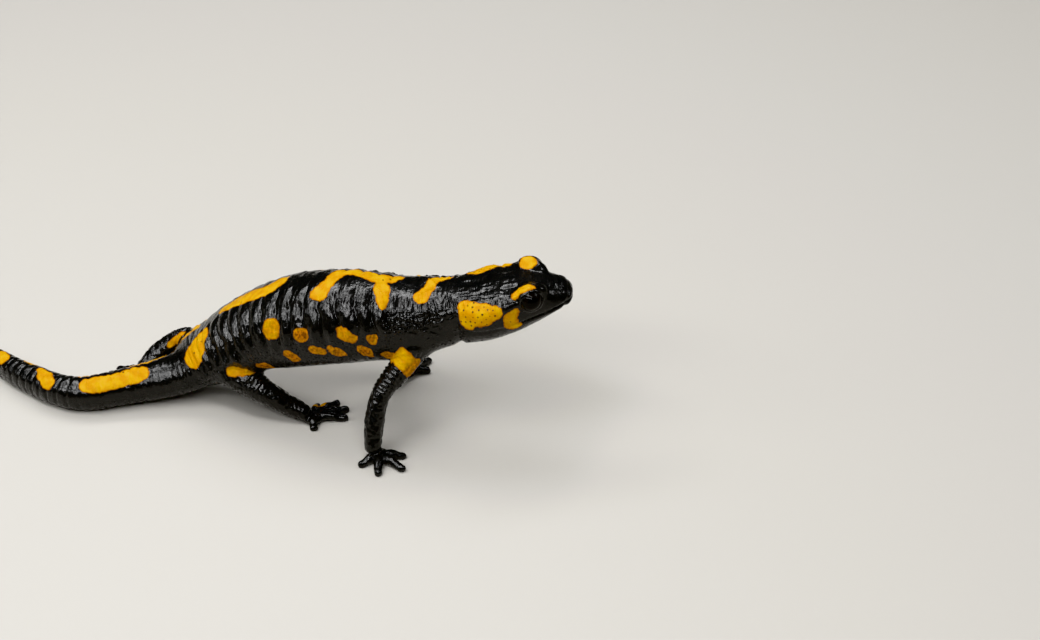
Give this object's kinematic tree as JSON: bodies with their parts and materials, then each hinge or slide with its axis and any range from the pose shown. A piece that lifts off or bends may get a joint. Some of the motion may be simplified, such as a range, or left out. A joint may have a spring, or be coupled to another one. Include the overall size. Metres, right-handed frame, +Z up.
{
  "type": "fire salamander",
  "caption": "Life-size black and yellow fire salamander standing on all fours, head and chest raised, tail swept along the floor; still, for display.",
  "frame": {"origin": "on the floor, under the middle of the animal's box", "axes": "+X along the animal from the tail towards the snout, +Y to the animal's left, +Z up"},
  "size_m": [0.1626, 0.0554, 0.0415],
  "materials": {
    "skin": "wet, glossy black skin with bright yellow spots and stripes, fine wrinkles and gland pores",
    "eye": "wet, very glossy, almost black eyeball with a faint brown iris"
  },
  "bodies": {
    "root": {"head": "skin", "lower_jaw": "skin", "neck": "skin", "torso": "skin", "tail_base": "skin", "tail_middle": "skin", "tail_tip": "skin", "upper_arm_right": "skin", "upper_arm_left": "skin", "forearm_right": "skin", "forearm_left": "skin", "hand_right": "skin", "hand_left": "skin", "thigh_right": "skin", "thigh_left": "skin", "shank_right": "skin", "shank_left": "skin", "foot_right": "skin", "foot_left": "skin", "eye_right": "eye", "eye_left": "eye"}
  },
  "joints": []
}
